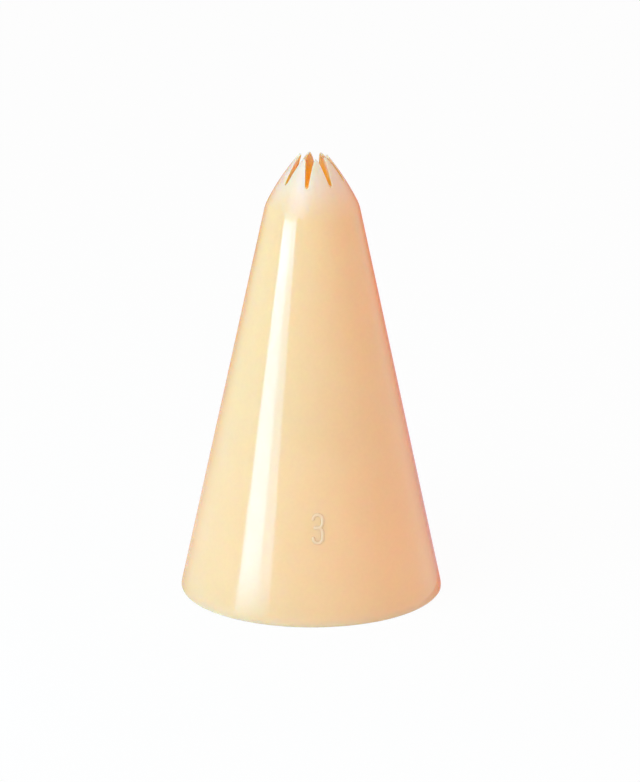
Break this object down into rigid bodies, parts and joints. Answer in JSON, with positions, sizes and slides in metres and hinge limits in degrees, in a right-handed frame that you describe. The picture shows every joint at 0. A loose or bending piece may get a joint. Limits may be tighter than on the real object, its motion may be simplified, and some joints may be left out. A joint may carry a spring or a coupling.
{
  "type": "piping nozzle",
  "caption": "Hollow plastic cone with a small star opening between pointed teeth, set in the tip of a piping bag to shape icing or cream.",
  "frame": {"origin": "centre of the flat base rim, on the nozzle's axis", "axes": "+Z along the nozzle's axis, from the wide base up to the star tip; -Y is the front, which carries the size numeral"},
  "size_m": [0.0298, 0.0298, 0.051],
  "materials": {
    "ivory_plastic": "glossy, slightly translucent ivory moulding",
    "ivory_plastic_mark": "the same ivory plastic, raised numeral"
  },
  "bodies": {
    "root": {"nozzle_body": "ivory_plastic", "size_numeral": "ivory_plastic_mark"}
  },
  "joints": []
}
